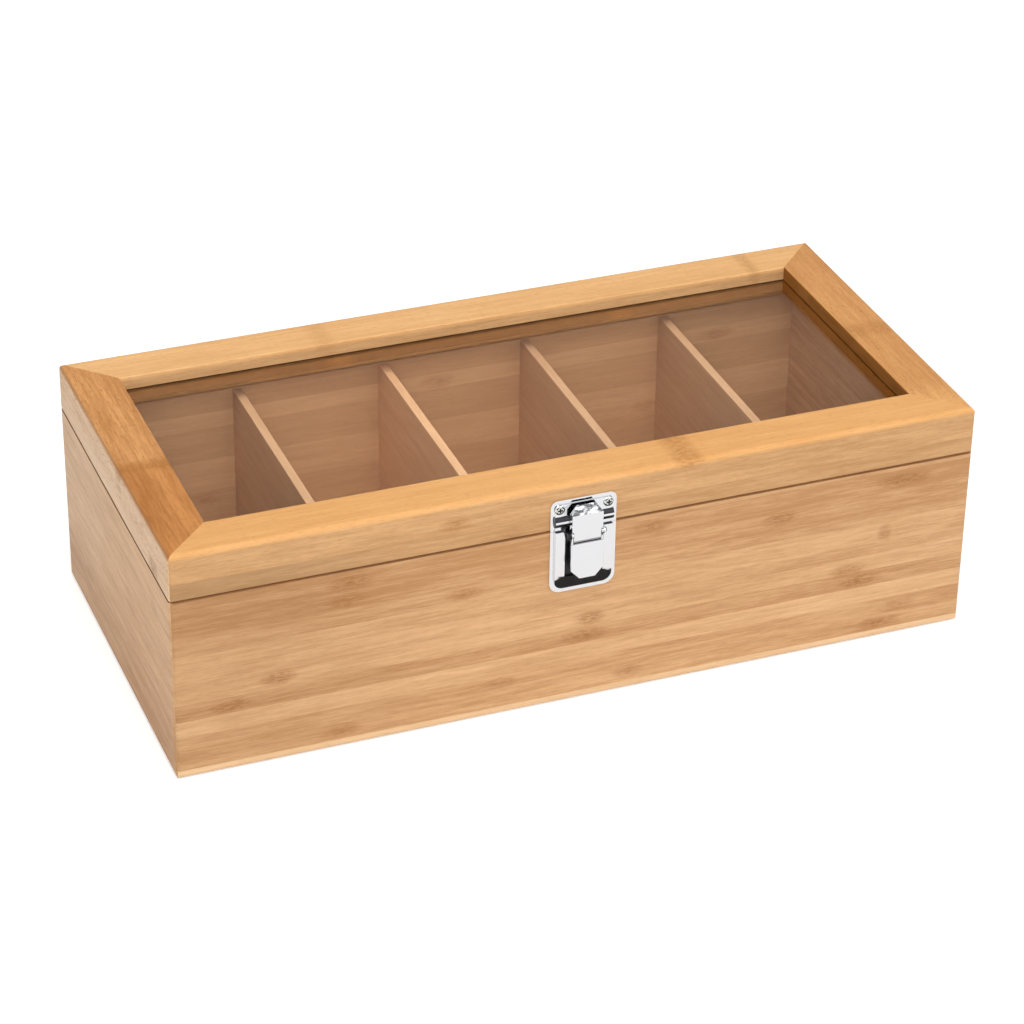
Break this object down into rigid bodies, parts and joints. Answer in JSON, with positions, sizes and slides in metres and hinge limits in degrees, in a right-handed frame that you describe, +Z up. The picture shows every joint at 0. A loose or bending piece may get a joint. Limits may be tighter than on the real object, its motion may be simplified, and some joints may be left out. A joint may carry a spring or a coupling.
{
  "type": "tea bag organizer box",
  "caption": "Lidded wooden storage box with a row of open compartments, a hinged lid with a clear window, and a toggle latch in front.",
  "frame": {"origin": "middle of the underside, where the bottom panel rests", "axes": "+X to the right along the width, +Y from the latch side to the hinge side, +Z up"},
  "size_m": [0.362, 0.1791, 0.1085],
  "materials": {
    "bamboo_case": "clear satin lacquer over laminated bamboo, light honey",
    "bamboo_rail": "clear satin lacquer over laminated bamboo, warmer honey",
    "bamboo_divider": "thin pale bamboo sheet, sanded and lacquered",
    "bamboo_bottom": "laminated bamboo sheet, lacquered",
    "clear_pane": "clear, flat and polished",
    "hinge_steel": "bright zinc plate",
    "latch_chrome": "mirror plated pressed steel",
    "latch_fasteners": "bright nickel plate"
  },
  "bodies": {
    "case": {"front_panel": "bamboo_case", "back_panel": "bamboo_case", "left_panel": "bamboo_case", "right_panel": "bamboo_case", "bottom_panel": "bamboo_bottom", "divider_1": "bamboo_divider", "divider_2": "bamboo_divider", "divider_3": "bamboo_divider", "divider_4": "bamboo_divider", "hinge_case_leaf_left": "hinge_steel", "hinge_case_leaf_right": "hinge_steel", "hinge_pin_left": "hinge_steel", "hinge_pin_right": "hinge_steel", "hinge_case_screws": "hinge_steel", "latch_base_plate": "latch_chrome", "base_screws": "latch_fasteners", "lever_rivets": "latch_fasteners"},
    "lid": {"lid_front_rail": "bamboo_rail", "lid_back_rail": "bamboo_rail", "lid_left_rail": "bamboo_rail", "lid_right_rail": "bamboo_rail", "lid_front_skirt": "bamboo_case", "lid_back_skirt": "bamboo_case", "lid_left_skirt": "bamboo_case", "lid_right_skirt": "bamboo_case", "window_pane": "clear_pane", "hinge_lid_leaf_left": "hinge_steel", "hinge_lid_leaf_right": "hinge_steel", "hinge_lid_screws": "hinge_steel", "latch_catch_plate": "latch_chrome", "catch_screws": "latch_fasteners"},
    "lever": {"latch_lever": "latch_chrome", "hook_pin": "latch_fasteners"},
    "hook": {"latch_hook": "latch_chrome"}
  },
  "joints": [
    {"name": "lid_hinge", "type": "hinge", "parent": "case", "child": "lid", "pos_m": [0, 0.0848, 0.087], "axis": [-1, 0, 0], "range_deg": [0, 100]},
    {"name": "latch_lever_pivot", "type": "hinge", "parent": "case", "child": "lever", "pos_m": [-0.002, -0.0909, 0.0863], "axis": [-1, 0, 0], "range_deg": [0, 85]},
    {"name": "latch_hook_pivot", "type": "hinge", "parent": "lever", "child": "hook", "pos_m": [-0.002, -0.0904, 0.0838], "axis": [-1, 0, 0], "range_deg": [-93.5, 0]}
  ],
  "couplings": [
    {"joint": "latch_hook_pivot", "follows": "latch_lever_pivot", "ratio": -1.1}
  ]
}
